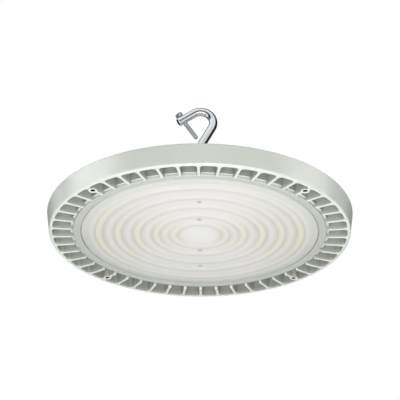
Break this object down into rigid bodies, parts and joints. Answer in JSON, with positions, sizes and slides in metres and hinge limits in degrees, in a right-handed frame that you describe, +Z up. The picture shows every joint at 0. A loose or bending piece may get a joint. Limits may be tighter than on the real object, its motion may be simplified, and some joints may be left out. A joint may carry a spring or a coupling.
{
  "type": "high bay light",
  "caption": "Round slim high bay light: finned die-cast housing with a ring of open windows, frosted ring-optic lens, top driver dome and a hanging hook closed by a locking screw.",
  "frame": {"origin": "on the light's axis, in the plane of the rib and rim undersides that it rests on", "axes": "+Z up along the axis towards the hook, light shines towards -Z; +X in the hook's plane, away from the hook's open end; +Y towards the cable gland"},
  "size_m": [0.35, 0.35, 0.1723],
  "materials": {
    "light_grey_paint": "satin powder coat over a die casting",
    "light_grey_frame": "satin moulded ring in the housing's grey",
    "frosted_lens": "frosted translucent polycarbonate",
    "white_silicone": "matt silicone",
    "grey_thermal_pad": "soft matt pad",
    "white_board": "white solder mask on an aluminium core",
    "led_yellow": "phosphor in a white package",
    "zinc_screws": "bright zinc plate",
    "white_plastic": "moulded",
    "black_rubber": "moulded rubber",
    "red_insulation": "extruded insulation",
    "black_insulation": "extruded insulation",
    "driver_plastic": "moulded, fine texture",
    "green_circuit_board": "solder mask",
    "yellow_tape": "taped winding on a bobbin",
    "capacitor_sleeve": "shrink sleeve",
    "ferrite": "coated core",
    "tinned_lug": "tin plate",
    "zinc_plated_hook": "bright zinc plate on steel rod",
    "zinc_locking_screw": "zinc plate, threaded",
    "black_steel": "blackened steel",
    "grey_gland_plastic": "moulded polyamide",
    "black_plastic": "moulded polyamide"
  },
  "bodies": {
    "root": {"housing": "light_grey_paint", "driver_cover": "light_grey_paint", "lens_frame": "light_grey_frame", "lens": "frosted_lens", "lens_seal": "white_silicone", "thermal_pad": "grey_thermal_pad", "led_board": "white_board", "led_packages": "led_yellow", "board_screws": "zinc_screws", "board_connector": "white_plastic", "wire_grommet": "black_rubber", "led_lead_positive": "red_insulation", "led_lead_negative": "black_insulation", "driver_case": "driver_plastic", "driver_lid": "driver_plastic", "driver_board": "green_circuit_board", "driver_transformer": "yellow_tape", "driver_capacitors": "capacitor_sleeve", "driver_choke": "ferrite", "driver_screws": "zinc_screws", "mains_terminal_block": "white_plastic", "terminal_block_screws": "zinc_screws", "earth_screw": "zinc_screws", "earth_lug": "tinned_lug", "cover_gasket": "black_rubber", "cover_screws": "zinc_screws", "hook": "zinc_plated_hook", "hook_locking_screw": "zinc_locking_screw", "hook_washer": "zinc_screws", "hook_lock_nut": "zinc_screws", "hook_set_screw": "black_steel", "gland_body": "grey_gland_plastic", "gland_cap": "grey_gland_plastic", "gland_lock_nut": "grey_gland_plastic", "gland_o_ring": "black_rubber", "gland_seal": "black_rubber", "vent_plug": "black_plastic"}
  },
  "joints": []
}
